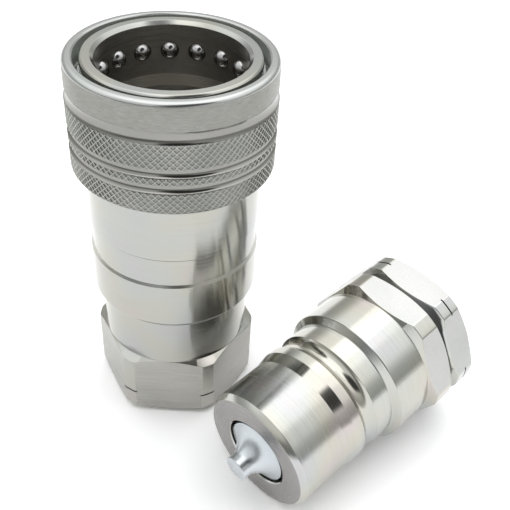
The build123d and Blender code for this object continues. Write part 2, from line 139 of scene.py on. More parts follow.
def hexagon_limit(angles, corner_r, clock):
    """The radius of a hexagon with turned corners at each angle, its edges a little soft."""
    local = (angles - radians(clock) + pi / 6) % (pi / 3) - pi / 6
    flat = flats_r / np.cos(pi / 6 - np.abs(local))
    soft = 0.10
    share = np.clip(0.5 + 0.5 * (corner_r - flat) / soft, 0, 1)
    return corner_r * (1 - share) + flat * share - soft * share * (1 - share)


def between(first, last, turn, share):
    """The point at a share of the way round an arc, from two spokes that are the given turn apart."""
    return (np.sin((1 - share) * turn) * first + np.sin(share * turn) * last) / np.sin(turn)


def rounded(points):
    """An outline of (radius, height, rounding) rows as arrays over the angles, with its corners rounded."""
    count = len(points)
    width = max(np.size(value) for point in points for value in point[:2])
    spots = np.zeros((count, width, 2))
    for index, point in enumerate(points):
        spots[index, :, 0] = point[0]
        spots[index, :, 1] = point[1]
    rows = []
    for index, point in enumerate(points):
        rounding = point[2] if len(point) > 2 else 0
        here = spots[index]
        if not rounding:
            rows.append(here)
            continue
        back = spots[index - 1] - here
        ahead = spots[(index + 1) % count] - here
        back_length = np.linalg.norm(back, axis=1, keepdims=True)
        ahead_length = np.linalg.norm(ahead, axis=1, keepdims=True)
        back, ahead = back / back_length, ahead / ahead_length
        corner = np.arccos(np.clip((back * ahead).sum(1, keepdims=True), -0.9999, 0.9999))
        longest = 0.47 * np.minimum(back_length, ahead_length)
        reach = np.minimum(rounding / np.tan(corner / 2), longest)
        radius = reach * np.tan(corner / 2)
        middle = back + ahead
        middle /= np.linalg.norm(middle, axis=1, keepdims=True)
        centre = here + middle * radius / np.sin(corner / 2)
        start, end = here + back * reach - centre, here + ahead * reach - centre
        for step in range(ROUND_STEPS + 1):
            rows.append(centre + between(start, end, pi - corner, step / ROUND_STEPS))
    return np.array(rows)


def arc(start, end, sag, steps):
    """Points of an arc between two (radius, height) points; a positive sag bows it to a smaller radius."""
    start, end = np.array(start, float), np.array(end, float)
    chord = end - start
    length = np.linalg.norm(chord)
    side = np.array([-abs(chord[1]), chord[0] * np.sign(chord[1])]) / length
    side *= np.sign(sag)
    radius = (length**2 / 4 + sag**2) / (2 * abs(sag))
    centre = (start + end) / 2 + side * (abs(sag) - radius)
    first, last = start - centre, end - centre
    turn = np.arccos(np.clip(first @ last / radius**2, -1, 1))
    spots = [centre + between(first, last, turn, step / steps) for step in range(steps + 1)]
    return [(spot[0], spot[1], 0) for spot in spots]


def vertex_at(made, radius, angle, height):
    """A new vertex at a radius and an angle round Z, and at a height, in millimetres."""
    return made.verts.new((radius * cos(angle) * MM, radius * sin(angle) * MM, height * MM))


def bridge(made, rings, around=True):
    """Quads between neighbouring rings of vertices, each ring closed on itself where around is true."""
    for low, high in zip(rings, rings[1:]):
        count = len(low)
        for step in range(count if around else count - 1):
            after = (step + 1) % count
            made.faces.new((low[step], low[after], high[after], high[step]))


def cleaned(made):
    """The bmesh with its doubled vertices and slivers gone and its normals made even."""
    bmesh.ops.remove_doubles(made, verts=made.verts, dist=MERGE)
    bmesh.ops.dissolve_degenerate(made, dist=SLIVER, edges=made.edges)
    bmesh.ops.recalc_face_normals(made, faces=made.faces)
    return made


def turn_faces(made, outward):
    """Makes the normals of an open shell look away from the Z axis, or towards it."""
    bmesh.ops.recalc_face_normals(made, faces=made.faces)
    lean = sum(face.normal.xy.dot(face.calc_center_median().xy) for face in made.faces)
    if (lean < 0) == outward:
        bmesh.ops.reverse_faces(made, faces=made.faces)


def turned_mesh(points, angles=angles_round(TURNED_SIDES)):
    """A bmesh turned about Z from a closed outline of (radius, height, rounding) points."""
    rows = rounded(points)
    rows = np.broadcast_to(rows, (rows.shape[0], len(angles), 2)) if rows.shape[1] == 1 else rows
    made = bmesh.new()
    rings = [[vertex_at(made, radius, angle, height) for (radius, height), angle in zip(row, angles)]
             for row in rows]
    bridge(made, rings + rings[:1])
    return cleaned(made)


def add_into(joined, part):
    """Adds a bmesh to another one and frees it."""
    partial = bpy.data.meshes.new("partial")
    part.to_mesh(partial)
    joined.from_mesh(partial)
    part.free()
    bpy.data.meshes.remove(partial)


def piece_from(meshes, name, placed, body, materials, replaced, sharp=32, baked=False):
    """One piece from one or more bmeshes, shaded smooth, riding on its body and standing for a CAD node."""
    mesh = bpy.data.meshes.new(name)
    joined = bmesh.new()
    for part in meshes:
        add_into(joined, part)
    if baked:
        joined.transform(placed)
    joined.to_mesh(mesh)
    joined.free()
    mesh.shade_smooth()
    mesh.set_sharp_from_angle(angle=radians(sharp))
    for material in materials:
        mesh.materials.append(material)
    piece = bpy.data.objects.new(name, mesh)
    bpy.context.scene.collection.objects.link(piece)
    if not baked:
        piece.matrix_world = placed
    weighted = piece.modifiers.new("weighted_normals", "WEIGHTED_NORMAL")
    weighted.keep_sharp = True
    weighted.weight = 60
    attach(piece, body)
    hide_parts(replaced)
    return piece


def finish_faces(piece, choose):
    """Gives each face of a piece the one of the piece's materials that choose(face) returns."""
    places = {material.name: place for place, material in enumerate(piece.data.materials)}
    for face in piece.data.polygons:
        face.material_index = places[choose(face).name]


def knurl_band(low, high):
    """A knurled band between two heights: crossing ridges round sunk diamonds, with square ends."""
    columns, pitch = 96, 1.70
    pit_depth, wall_depth = 0.24, 0.62
    floor_r, wall_r = knurl_r - pit_depth, knurl_r - wall_depth
    diamonds = [(1.0, knurl_r), (0.86, knurl_r - 0.02), (0.66, floor_r)]
    made = bmesh.new()
    half_turn = pi / columns
    for row in range(-1, int(2 * (high - low) / pitch) + 3):
        height = low + row * pitch / 2
        for column in range(columns):
            angle = (2 * column + row % 2) * half_turn
            rings = [
                [vertex_at(made, radius, angle + across * share * half_turn, height + up * share * pitch / 2)
                 for across, up in ((1, 0), (0, 1), (-1, 0), (0, -1))]
                for share, radius in diamonds
            ]
            bridge(made, rings)
            made.faces.new(rings[-1])
    bmesh.ops.remove_doubles(made, verts=made.verts, dist=2 * MERGE)
    for cut, side in ((low, -1), (high, 1)):
        bmesh.ops.bisect_plane(
            made, geom=made.verts[:] + made.edges[:] + made.faces[:], plane_co=(0, 0, cut * MM),
            plane_no=(0, 0, side), dist=SLIVER, clear_outer=True
        )
    for cut in (low, high):
        rim = [edge for edge in made.edges
               if edge.is_boundary and all(abs(end.co.z - cut * MM) < MERGE for end in edge.verts)]
        for vertex in {end for edge in rim for end in edge.verts}:
            vertex.co.z = cut * MM
        wall = bmesh.ops.extrude_edge_only(made, edges=rim)["geom"]
        for vertex in [item for item in wall if isinstance(item, bmesh.types.BMVert)]:
            vertex.co.xy = vertex.co.xy * (wall_r * MM / vertex.co.xy.length)
    turn_faces(made, outward=True)
    return made


def port_thread(mouth, inward):
    """The bored wall of a port with its taper thread, from the mouth inward along Z."""
    inch, threads_per_inch = 25.4, 11.5
    pitch = inch / threads_per_inch
    root_r, root_flat, taper = 16.60, 0.10, 1 / 32
    runout, runout_length, runout_rise = 16.0, 2.0, 2.2
    flank_slope = tan(radians(60))
    rows_per_turn, around = 14, 120
    made = bmesh.new()
    rings = []
    for row in range(int(rows_per_turn * (port_depth / pitch + 1)) + 2):
        off_root = abs(row % rows_per_turn / rows_per_turn - 0.5) * pitch
        ring = []
        for step in range(around + 1):
            share = step / around
            depth = min(max(pitch * (row / rows_per_turn + share - 1), 0), port_depth)
            fade = min(max((depth - runout) / runout_length, 0), 1)
            root = root_r - taper * depth - fade * runout_rise
            flank = root - max(0, off_root - root_flat) * flank_slope
            bevel = port_mouth_r - depth * (port_mouth_r - port_r) / port_bevel
            ring.append(vertex_at(made, max(port_r, flank, bevel), 2 * pi * share, mouth + inward * depth))
        rings.append(ring)
    bridge(made, rings, around=False)
    cleaned(made)
    turn_faces(made, outward=False)
    return made


def wire_mesh(spine, sides, closed):
    """A round wire along (radius, angle, height, section radius) rows, with flat ends unless closed."""
    made = bmesh.new()
    rings = [
        [vertex_at(made, radius + section * cos(turn), angle, height + section * sin(turn))
         for turn in angles_round(sides)]
        for radius, angle, height, section in spine
    ]
    bridge(made, rings + rings[:1] if closed else rings)
    if not closed:
        made.faces.new(rings[0])
        made.faces.new(list(reversed(rings[-1])))
    bmesh.ops.recalc_face_normals(made, faces=made.faces)
    return made


def ring_mesh(ring_radius, height, section, start=0.0, span=360.0):
    """A round-section ring about Z, or a part of one with flat ends."""
    whole = span >= 360
    around, wire_sides = 192, 20
    steps = range(around if whole else around + 1)
    spine = [(ring_radius, radians(start + span * step / around), height, section) for step in steps]
    return wire_mesh(spine, wire_sides, whole)


def coil_mesh(low, high, coil_radius, wire, turns):
    """A compression spring with closed, flattened end turns."""
    steps_per_turn, wire_sides = 48, 14
    closed_turns = 0.85
    closed_rise = wire * 1.02 * closed_turns
    open_turns = turns - 2 * closed_turns
    span = high - low - wire
    steps = int(steps_per_turn * turns)
    spine = []
    for step in range(steps + 1):
        turn = turns * step / steps
        if turn < closed_turns:
            rise = closed_rise * turn / closed_turns
        elif turn > turns - closed_turns:
            rise = span - closed_rise * (turns - turn) / closed_turns
        else:
            rise = closed_rise + (span - 2 * closed_rise) * (turn - closed_turns) / open_turns
        spine.append((coil_radius, 2 * pi * turn, low + wire / 2 + rise, wire / 2))
    return wire_mesh(spine, wire_sides, closed=False)


# Materials

def new_material(name):
    """A new material with its node tree and its Principled shader."""
    material = bpy.data.materials.new(name)
    material.use_nodes = True
    tree = material.node_tree
    return material, tree, tree.nodes["Principled BSDF"]


def math_node(tree, operation, *values):
    """The result of one Math node; each value is a number or a socket."""
    node = tree.nodes.new("ShaderNodeMath")
    node.operation = operation
    for socket, value in zip(node.inputs, values):
        if isinstance(value, (int, float)):
            socket.default_value = value
        else:
            tree.links.new(value, socket)
    return node.outputs[0]


def times(tree, first, second):
    """The product of two values."""
    return math_node(tree, "MULTIPLY", first, second)


def larger(tree, first, second):
    """The larger of two values."""
    return math_node(tree, "MAXIMUM", first, second)


def vector_node(tree, operation, vector, amount):
    """The Vector Math node that works on a vector socket; amount is a vector for its second input."""
    node = tree.nodes.new("ShaderNodeVectorMath")
    node.operation = operation
    tree.links.new(vector, node.inputs[0])
    node.inputs[1].default_value = amount
    return node


def scaled(tree, colour, amount):
    """A colour made lighter or darker by the amount, which is a socket."""
    node = tree.nodes.new("ShaderNodeVectorMath")
    node.operation = "SCALE"
    tree.links.new(colour, node.inputs[0])
    tree.links.new(amount, node.inputs["Scale"])
    return node.outputs[0]


def local_place(tree, lies=None):
    """The place on the piece, or in the frame that its turning axis is Z of."""
    place = tree.nodes.new("ShaderNodeTexCoord").outputs["Object"]
    if lies is None:
        return place
    back = lies.inverted()
    mapping = tree.nodes.new("ShaderNodeMapping")
    mapping.inputs["Location"].default_value = back.translation
    mapping.inputs["Rotation"].default_value = back.to_euler()
    tree.links.new(place, mapping.inputs["Vector"])
    return mapping.outputs[0]


def turning_coordinate(tree, place, around, along):
    """A coordinate that runs in rings about the Z axis, on sides, cones and faces."""
    face_share = 0.73
    split = tree.nodes.new("ShaderNodeSeparateXYZ")
    tree.links.new(place, split.inputs[0])
    x, y, z = split.outputs
    radius = math_node(tree, "SQRT", math_node(tree, "ADD", times(tree, x, x), times(tree, y, y)))
    ring = math_node(tree, "ADD", z, times(tree, radius, face_share))
    merged = tree.nodes.new("ShaderNodeCombineXYZ")
    for value, scale, socket in zip((x, y, ring), (around, around, along), merged.inputs):
        tree.links.new(times(tree, value, scale), socket)
    return merged.outputs[0]


def noise(tree, vector, scale, detail=2.0):
    """Noise between 0 and 1 over the coordinate."""
    node = tree.nodes.new("ShaderNodeTexNoise")
    node.inputs["Scale"].default_value = scale
    node.inputs["Detail"].default_value = detail
    tree.links.new(vector, node.inputs["Vector"])
    return node.outputs["Fac"]


def remap(tree, value, low, high, to_low, to_high):
    """A value that runs from low to high, brought to run from to_low to to_high."""
    node = tree.nodes.new("ShaderNodeMapRange")
    tree.links.new(value, node.inputs["Value"])
    for socket, number in zip(node.inputs[1:5], (low, high, to_low, to_high)):
        socket.default_value = number
    return node.outputs[0]


def smooth(tree, value, low, high):
    """From 0 at low to 1 at high, eased at both ends."""
    node = tree.nodes.new("ShaderNodeMapRange")
    node.interpolation_type = "SMOOTHSTEP"
    tree.links.new(value, node.inputs["Value"])
    node.inputs["From Min"].default_value = low
    node.inputs["From Max"].default_value = high
    return node.outputs[0]


def ramp(tree, value, stops):
    """The colour at a value, between (value, colour) stops."""
    node = tree.nodes.new("ShaderNodeValToRGB")
    tree.links.new(value, node.inputs[0])
    elements = node.color_ramp.elements
    while len(elements) < len(stops):
        elements.new(0.5)
    for element, (position, colour) in zip(elements, stops):
        element.position = position
        element.color = (*colour, 1)
    return node.outputs[0]


def surface(tree, shader, colour, fine, roughness, spread, grain, grain_height):
    """Sets the colour, a roughness that varies with the fine grain, and a bump from it."""
    tree.links.new(colour, shader.inputs["Base Color"])
    tree.links.new(remap(tree, fine, 0.3, 0.7, roughness * spread[0], roughness * spread[1]),
                   shader.inputs["Roughness"])
    bump = tree.nodes.new("ShaderNodeBump")
    bump.inputs["Strength"].default_value = grain
    bump.inputs["Distance"].default_value = grain_height
    tree.links.new(fine, bump.inputs["Height"])
    tree.links.new(bump.outputs[0], shader.inputs["Normal"])


def plated(name, shades, roughness, grain=0.15, lines=(30, 9000), anisotropy=0.5, pattern="turned",
           lies=None, streaks=0.0, streak_lines=(70, 2600), specks=0.0, spread=(0.8, 1.25)):
    """Plated steel with turning lines, straight brushing or an even grain, and a faint change of tint."""
    tint_scale, speck_scale, grain_height, quarter_turn = 55, 2600, 0.00002, 0.25
    material, tree, shader = new_material(name)
    shader.inputs["Metallic"].default_value = 1.0
    place = local_place(tree, lies)

    def lined(around, along):
        """The noise of the pattern, with its scales round and along the piece."""
        if pattern == "turned":
            return noise(tree, turning_coordinate(tree, place, around, along), 1.0, detail=2.5)
        if pattern == "brushed":
            stretched = vector_node(tree, "MULTIPLY", place, (around, around, along)).outputs[0]
            return noise(tree, stretched, 1.0, detail=2.5)
        return noise(tree, place, along, detail=3)

    colour = ramp(tree, noise(tree, place, tint_scale, detail=1.5), shades)
    if streaks:
        colour = scaled(tree, colour, remap(tree, lined(*streak_lines), 0.3, 0.7, 1 - streaks, 1 + streaks))
    if specks:
        speck = noise(tree, place, speck_scale)
        colour = scaled(tree, colour, remap(tree, speck, 0.70, 0.76, 1, 1 - specks))
    surface(tree, shader, colour, lined(*lines), roughness, spread, grain, grain_height)
    if anisotropy:
        shader.inputs["Anisotropic"].default_value = anisotropy
        shader.inputs["Anisotropic Rotation"].default_value = quarter_turn
        tangent = tree.nodes.new("ShaderNodeTangent")
        tangent.direction_type = "RADIAL"
        tangent.axis = "Z" if lies is None else "X"
        tree.links.new(tangent.outputs[0], shader.inputs["Tangent"])
    return material


def plain(name, colour, roughness, metallic=0.0, vary=0.12, grain=0.1):
    """A plain part with a little unevenness in its tone and surface."""
    speck_scale, grain_height, spread = 900, 0.00003, (0.85, 1.15)
    material, tree, shader = new_material(name)
    shader.inputs["Metallic"].default_value = metallic
    speck = noise(tree, local_place(tree), speck_scale, detail=3)
    low = tuple(value * (1 - vary) for value in colour)
    high = tuple(min(1, value * (1 + vary)) for value in colour)
    surface(tree, shader, ramp(tree, speck, [(0.35, low), (0.65, high)]), speck, roughness, spread, grain,
            grain_height)
    return material


silver = [(0.32, (0.43, 0.41, 0.387)), (0.44, (0.43, 0.422, 0.38)), (0.56, (0.417, 0.422, 0.40)),
          (0.70, (0.412, 0.413, 0.413))]
tinted = [(0.28, (0.485, 0.445, 0.43)), (0.40, (0.48, 0.462, 0.41)), (0.52, (0.462, 0.468, 0.436)),
          (0.64, (0.452, 0.458, 0.46)), (0.76, (0.475, 0.444, 0.442))]
light = [(0.35, (0.425, 0.43, 0.42)), (0.65, (0.47, 0.47, 0.46))]
warm = [(0.35, (0.252, 0.252, 0.231)), (0.65, (0.290, 0.290, 0.271))]
beige = [(0.35, (0.375, 0.37, 0.345)), (0.65, (0.415, 0.405, 0.38))]
cove = [(0.35, (0.25, 0.248, 0.232)), (0.65, (0.28, 0.275, 0.26))]
# painted shade: near-black tones for the plug's seam recess behind the front hexagon
recess = [(0.35, (0.10, 0.10, 0.10)), (0.65, (0.14, 0.14, 0.14))]
# painted light: lifted tones for the sleeve's deep relief wall
relief = [(0.35, (0.56, 0.59, 0.55)), (0.65, (0.62, 0.65, 0.61))]
ridge = [(0.35, (0.335, 0.34, 0.315)), (0.65, (0.385, 0.385, 0.36))]
# painted shade: darker tones for the plug's nose face
nose_face_shade = [(0.35, (0.29, 0.28, 0.275)), (0.65, (0.33, 0.315, 0.31))]
steel_blue = [(0.35, (0.43, 0.45, 0.44)), (0.65, (0.465, 0.465, 0.465))]
# painted shade: the knurl's pits darker than its ridges
pit = [(0.35, (0.212, 0.217, 0.206)), (0.65, (0.265, 0.265, 0.256))]
cool = [(0.35, (0.49, 0.525, 0.55)), (0.65, (0.53, 0.56, 0.585))]
# painted shade: darker, browner tones for the inside of the socket's bore
bore = [(0.35, (0.37, 0.35, 0.32)), (0.65, (0.41, 0.39, 0.36))]
# painted shade: near-black tones for the tick grooves
tick_shade_tones = [(0.3, (0.05, 0.05, 0.05)), (0.7, (0.08, 0.08, 0.075))]

bright_turned = plated("bright_turned", silver, 0.16, grain=0.08, anisotropy=0.6, streaks=0.025)
bright_plug = plated("bright_plug", tinted, 0.14, grain=0.08, anisotropy=0.6, lies=plug_frame, streaks=0.03)
nose_turned = plated("nose_turned", tinted, 0.22, grain=0.10, anisotropy=0.7, lies=plug_frame, streaks=0.03)
# Painted shade in the plug's seam recess
recess_painted_shade = plated("recess_painted_shade", recess, 0.25, grain=0.10, lies=plug_frame, streaks=0.05)
groove_turned = plated("groove_turned", cove, 0.12, grain=0.06, anisotropy=0.3)
rim_satin = plated("rim_satin", steel_blue, 0.22, grain=0.0, lines=(0, 700), anisotropy=0, pattern="even",
                   spread=(0.95, 1.05))
# Painted light on the sleeve's relief wall
relief_painted_light = plated("relief_painted_light", relief, 0.50, grain=0.1, lines=(40, 6000), anisotropy=0)
satin_turned = plated("satin_turned", warm, 0.42, grain=0.35, lines=(500, 9000), anisotropy=0.3,
                      streaks=0.12, streak_lines=(600, 4500), specks=0.6)
# Painted shade on the plug's nose face
face_painted_shade = plated("face_painted_shade", nose_face_shade, 0.30, grain=0.2, lines=(200, 9000), anisotropy=0.3, lies=plug_frame,
                    streaks=0.02)
satin_flat = plated("satin_flat", light, 0.30, grain=0.25, lines=(0, 4500), anisotropy=0, pattern="even",
                    streaks=0.05, streak_lines=(0, 3000))
brushed_flat = plated("brushed_flat", beige, 0.30, grain=0.3, lines=(60, 8000), anisotropy=0,
                      pattern="brushed", streaks=0.07, streak_lines=(50, 3200))
knurl_ridge = plated("knurl_ridge", ridge, 0.30, grain=0.2, lines=(0, 4000), anisotropy=0, pattern="even")
# Painted shade in the knurl's pits
knurl_pit_painted_shade = plated("knurl_pit_painted_shade", pit, 0.42, grain=0.5, lines=(0, 5000), anisotropy=0, pattern="even",
                   streaks=0.1, streak_lines=(0, 2500))
# Painted shade inside the socket's bore
bore_painted_shade = plated("bore_painted_shade", bore, 0.32, grain=0.05, lines=(40, 6000), anisotropy=0.4)
# Painted shade in the tick grooves
tick_painted_shade = plated("tick_painted_shade", tick_shade_tones, 0.4, anisotropy=0)
blue_satin = plated("blue_satin", cool, 0.28, grain=0.0, lines=(0, 300), anisotropy=0, pattern="even",
                    streaks=0.02, streak_lines=(0, 250), spread=(0.97, 1.03))
ball_chrome = plain("ball_chrome", (0.37, 0.37, 0.37), 0.06, metallic=1.0, vary=0.04, grain=0.0)
spring_wire = plain("spring_wire", (0.45, 0.45, 0.46), 0.32, metallic=1.0, vary=0.10, grain=0.2)
ring_wire = plain("ring_wire", (0.50, 0.51, 0.52), 0.28, metallic=1.0, vary=0.10, grain=0.2)
black_rubber = plain("black_rubber", (0.018, 0.018, 0.019), 0.42, vary=0.2, grain=0.3)
backup_white = plain("backup_white", (0.80, 0.79, 0.74), 0.45, vary=0.05, grain=0.2)


# Ball holes of the socket body

def drilled(solid_mesh, holes):
    """The first bmesh with the second one's shapes cut out of it, as a new bmesh."""
    solid = bpy.data.meshes.new("solid")
    solid_mesh.to_mesh(solid)
    drill = bpy.data.meshes.new("drill")
    holes.to_mesh(drill)
    base = bpy.data.objects.new("base", solid)
    cutter = bpy.data.objects.new("cutter", drill)
    for item in (base, cutter):
        bpy.context.scene.collection.objects.link(item)
    cut = base.modifiers.new("cut", "BOOLEAN")
    cut.operation = "DIFFERENCE"
    cut.solver = "EXACT"
    cut.use_self = False
    cut.object = cutter
    done = bpy.data.meshes.new_from_object(base.evaluated_get(bpy.context.evaluated_depsgraph_get()))
    found = bmesh.new()
    found.from_mesh(done)
    for item in (base, cutter):
        bpy.data.objects.remove(item)
    for item in (solid, drill, done):
        bpy.data.meshes.remove(item)
    return found


ball_count = 16
ball_clock = 8.1
ball_turns = [radians(ball_clock + number * 360 / ball_count) for number in range(ball_count)]
hole_r = 2.461
hole_overrun = 0.80
lip_r = hole_r - 0.25
drills = bmesh.new()
for turn in ball_turns:
    lathe = turned_mesh([
        (0.0, mouth_r - hole_overrun), (lip_r, mouth_r - hole_overrun), (hole_r - 0.12, mouth_r + 0.05),
        (hole_r, mouth_r + 0.5), (hole_r, body_guide_r + hole_overrun), (0.0, body_guide_r + hole_overrun),
    ], angles_round(HOLE_SIDES))
    lathe.transform(Matrix.Translation((0, 0, ball_z * MM)) @ Matrix.Rotation(turn, 4, "Z")
                    @ Matrix.Rotation(pi / 2, 4, "Y"))
    add_into(drills, lathe)

# Socket body
ring_play = 0.05
ring_groove_half = wire_r + ring_play
ring_groove_r = ring_r - ring_groove_half
nose_squeeze = 0.25
nose_seal_wire_r = 1.50
nose_seal_r = nose_r - nose_squeeze + nose_seal_wire_r
seal_groove_r = nose_seal_r + nose_seal_wire_r + seal_play
seal_groove_half = 2.325
seal_groove_floor_z = nose_seal_z - seal_groove_half
seal_groove_top_z = nose_seal_z + seal_groove_half
spring_seat_z = sleeve_base_z + 3.0
land_top_z = ball_z + 0.40
land_base_z = land_top_z - 3.50
rim_bevel = 0.45
seam_bevel = 0.40
hole_margin = 3.3
hole_margin_above = 2.9
front_body = turned_mesh([
    (chamber_r, spigot_end_z, 0.2), (spigot_r, spigot_end_z, 0.3), (spigot_r, seam_z),
    (barrel_r - seam_bevel, seam_z), (barrel_r, seam_z + seam_bevel / 2, 0.05),
    (barrel_r, spring_seat_z, 0.15), (body_guide_r, spring_seat_z), (body_guide_r, ball_z - hole_margin),
    (body_guide_r, ball_z + hole_margin_above), (body_guide_r, ring_z - ring_groove_half, 0.06),
    (ring_groove_r, ring_z - ring_groove_half), (ring_groove_r, ring_z + ring_groove_half),
    (body_guide_r, ring_z + ring_groove_half, 0.06), (body_guide_r, rim_z - rim_bevel, 0.25),
    (body_guide_r - rim_bevel, rim_z, 0.25), (mouth_r + mouth_bevel, rim_z, 0.16),
    (mouth_r, rim_z - mouth_bevel, 0.2), (mouth_r, ball_z + hole_margin), (mouth_r, ball_z - hole_margin),
    (mouth_r, rim_z - mouth_depth, 0.3), (seal_bore_r, rim_z - seal_bore_depth, 0.3),
    (seal_bore_r, seal_groove_top_z, 0.15), (seal_groove_r, seal_groove_top_z),
    (seal_groove_r, seal_groove_floor_z), (seal_bore_r, seal_groove_floor_z, 0.15),
    (seal_bore_r, seat_face_z, 0.1), (valve_hole_r, seat_face_z, 0.15),
    (valve_hole_r, seat_face_z - valve_land, 0.1),
    (chamber_r, seat_face_z - valve_land - (chamber_r - valve_hole_r), 0.3),
])
socket_body = piece_from([drilled(front_body, drills)], "socket_front", ground_frame, "coupling_halves",
                         [bright_turned, bore_painted_shade], "socket_body")


def body_finish(face):
    """The inside, from the valve's seat up to the mouth's bevel, is darker than the rest: painted shade."""
    spot = face.center / MM
    inside = spot.xy.length < mouth_r + play
    return bore_painted_shade if inside and seat_face_z + 1 < spot.z < rim_z - mouth_bevel - 0.07 else bright_turned


finish_faces(socket_body, body_finish)

# Socket adapter
tick_depth = 0.28
socket_clock = 13.74
hexagon_turned_r = 22.75
hexagon_top_z = 19.80
tick_low_z = 7.54
tick_high_z = 8.06
foot_r = 18.80
neck_r = 20.40
neck_base_z = hexagon_top_z + (hexagon_turned_r - neck_r) / bevel_slope
barrel_foot_z = seam_z - 21.20
neck_top_z = barrel_foot_z - 2.60
band_foot_z = seam_z - 8.60
band_bevel = 0.30
joint_r = spigot_r + 0.05
thread_wall = 0.50
hexagon_angles = angles_round(HEXAGON_SIDES)
limit = hexagon_limit(hexagon_angles, hexagon_turned_r, socket_clock)
tick = np.minimum(limit, hexagon_turned_r - tick_depth)
adapter = turned_mesh([
    (port_mouth_r, 0.0, 0.1), (foot_r, 0.0, 0.25), (limit, (limit - foot_r) / bevel_slope, 0.25),
    (limit, tick_low_z), (tick, tick_low_z), (tick, tick_high_z), (limit, tick_high_z),
    (limit, hexagon_top_z + (hexagon_turned_r - limit) / bevel_slope, 0.25),
    (neck_r, neck_base_z + 0.02, 0.10), (neck_r, neck_top_z, 0.5), (lower_barrel_r, barrel_foot_z, 0.35),
    (lower_barrel_r, band_foot_z - 0.05, 0.05), (band_r, band_foot_z + 0.65, 0.05),
    (band_r, seam_z - 0.10), (band_r - band_bevel, seam_z),
    (joint_r, seam_z), (joint_r, guide_ledge_z), (chamber_r, guide_ledge_z, 0.2),
    (flow_r, guide_ledge_z - 8.0, 0.5), (flow_r, port_depth, 0.1),
    (port_mouth_r + thread_wall, port_depth), (port_mouth_r + thread_wall, 0.45),
], hexagon_angles)
socket_adapter = piece_from([adapter, port_thread(0.0, 1)], "socket_rear", ground_frame, "coupling_halves",
                            [bright_turned, brushed_flat, tick_painted_shade], "socket_adapter")


def on_flat(lean, radius, turned_r):
    """Whether a face lies on a hexagon's flat: along the axis, clear of the turned corners."""
    return abs(lean) < 0.05 and flats_r - 0.2 < radius < turned_r - 0.12


def in_tick(place, radius, low, high, turned_r):
    """Whether a face lies on the floor of a tick cut into the turned corners between two places."""
    return low - 0.04 < place < high + 0.04 and turned_r - tick_depth - 0.02 < radius < turned_r - 0.05


def adapter_finish(face):
    """The flats are brushed, and the ticks are dark with painted shade."""
    radius, z = face.center.xy.length / MM, face.center.z / MM
    if in_tick(z, radius, tick_low_z, tick_high_z, hexagon_turned_r):
        return tick_painted_shade
    brushed = z < neck_base_z and on_flat(face.normal.z, radius, hexagon_turned_r)
    return brushed_flat if brushed else bright_turned


finish_faces(socket_adapter, adapter_finish)

# Release sleeve
collar_base_z = sleeve_top_z - 6.70
cove_base_z = collar_base_z - 3.10
upper_knurl_z = cove_base_z - 6.40
groove_width = 2.28
middle_top_z = upper_knurl_z - groove_width
middle_base_z = middle_top_z - 1.84
lower_top_z = middle_base_z - groove_width
sleeve_r = knurl_r - 0.25
core_r = knurl_r - 0.60
relief_r = sleeve_r - 2.55
step_r = body_guide_r + 0.65
spring_chamber_r = body_guide_r + 1.90
stop_z = ring_z - wire_r - 0.10
foot_top_z = sleeve_base_z + 2.80
collar_round = 1.30
relief_bevel = 0.35
rim_bright_z = sleeve_top_z - 0.95
skirt = 0.55


def groove(low, high):
    """The turned groove between two knurled bands, its lower side flared out to the knurl."""
    floor_r = knurl_r - 1.05
    flare = arc((knurl_r - 0.04, low), (floor_r + 0.02, low + 1.34), 0.236, 12)
    return [*flare, (floor_r, high)]


sleeve_core = turned_mesh([
    (barrel_r + play, sleeve_base_z, 0.15), (knurl_r - skirt, sleeve_base_z, 0.15),
    (knurl_r - 0.05, sleeve_base_z + skirt - 0.05, 0.08), (core_r, sleeve_base_z + skirt + 0.05),
    (core_r, lower_top_z), *groove(lower_top_z, middle_base_z), (core_r, middle_base_z),
    (core_r, middle_top_z), *groove(middle_top_z, upper_knurl_z), (core_r, upper_knurl_z),
    (core_r, cove_base_z),
    *arc((knurl_r - 0.20, cove_base_z), (sleeve_r - 0.22, collar_base_z - 0.05), 0.44, 16),
    (sleeve_r, collar_base_z, 0.06),
    *arc((sleeve_r, sleeve_top_z - collar_round), (sleeve_r - collar_round, sleeve_top_z), -0.381, 12),
    (relief_r + relief_bevel, sleeve_top_z, 0.12), (relief_r, sleeve_top_z - relief_bevel, 0.12),
    (relief_r, stop_z),
    (step_r, stop_z), (step_r, land_top_z + step_r - body_guide_r - play),
    (body_guide_r + play, land_top_z, 0.1), (body_guide_r + play, land_base_z, 0.1),
    (spring_chamber_r, land_base_z), (spring_chamber_r, foot_top_z), (barrel_r + play, foot_top_z),
])
release_sleeve = piece_from(
    [sleeve_core, knurl_band(sleeve_base_z + skirt, lower_top_z), knurl_band(middle_base_z, middle_top_z),
     knurl_band(upper_knurl_z, cove_base_z)],
    "sleeve_shell", ground_frame, "sleeve",
    [satin_turned, knurl_ridge, knurl_pit_painted_shade, groove_turned, rim_satin, relief_painted_light], "release_sleeve"
)


def sleeve_finish(face):
    """Relief wall lightened with painted light, a light rim, polished cove and grooves, the knurl's ridges
    and pits darkened with painted shade, satin elsewhere.
    """
    radius, z = face.center.xy.length / MM, face.center.z / MM
    grooves = ((cove_base_z, collar_base_z), (lower_top_z, middle_base_z), (middle_top_z, upper_knurl_z))
    if radius < relief_r + 0.05:
        return relief_painted_light
    if z > rim_bright_z:
        return rim_satin
    if any(low < z < high for low, high in grooves):
        return groove_turned
    if z < cove_base_z and radius > core_r - 0.45:
        return knurl_pit_painted_shade if radius < knurl_r - 0.17 else knurl_ridge
    return satin_turned


finish_faces(release_sleeve, sleeve_finish)

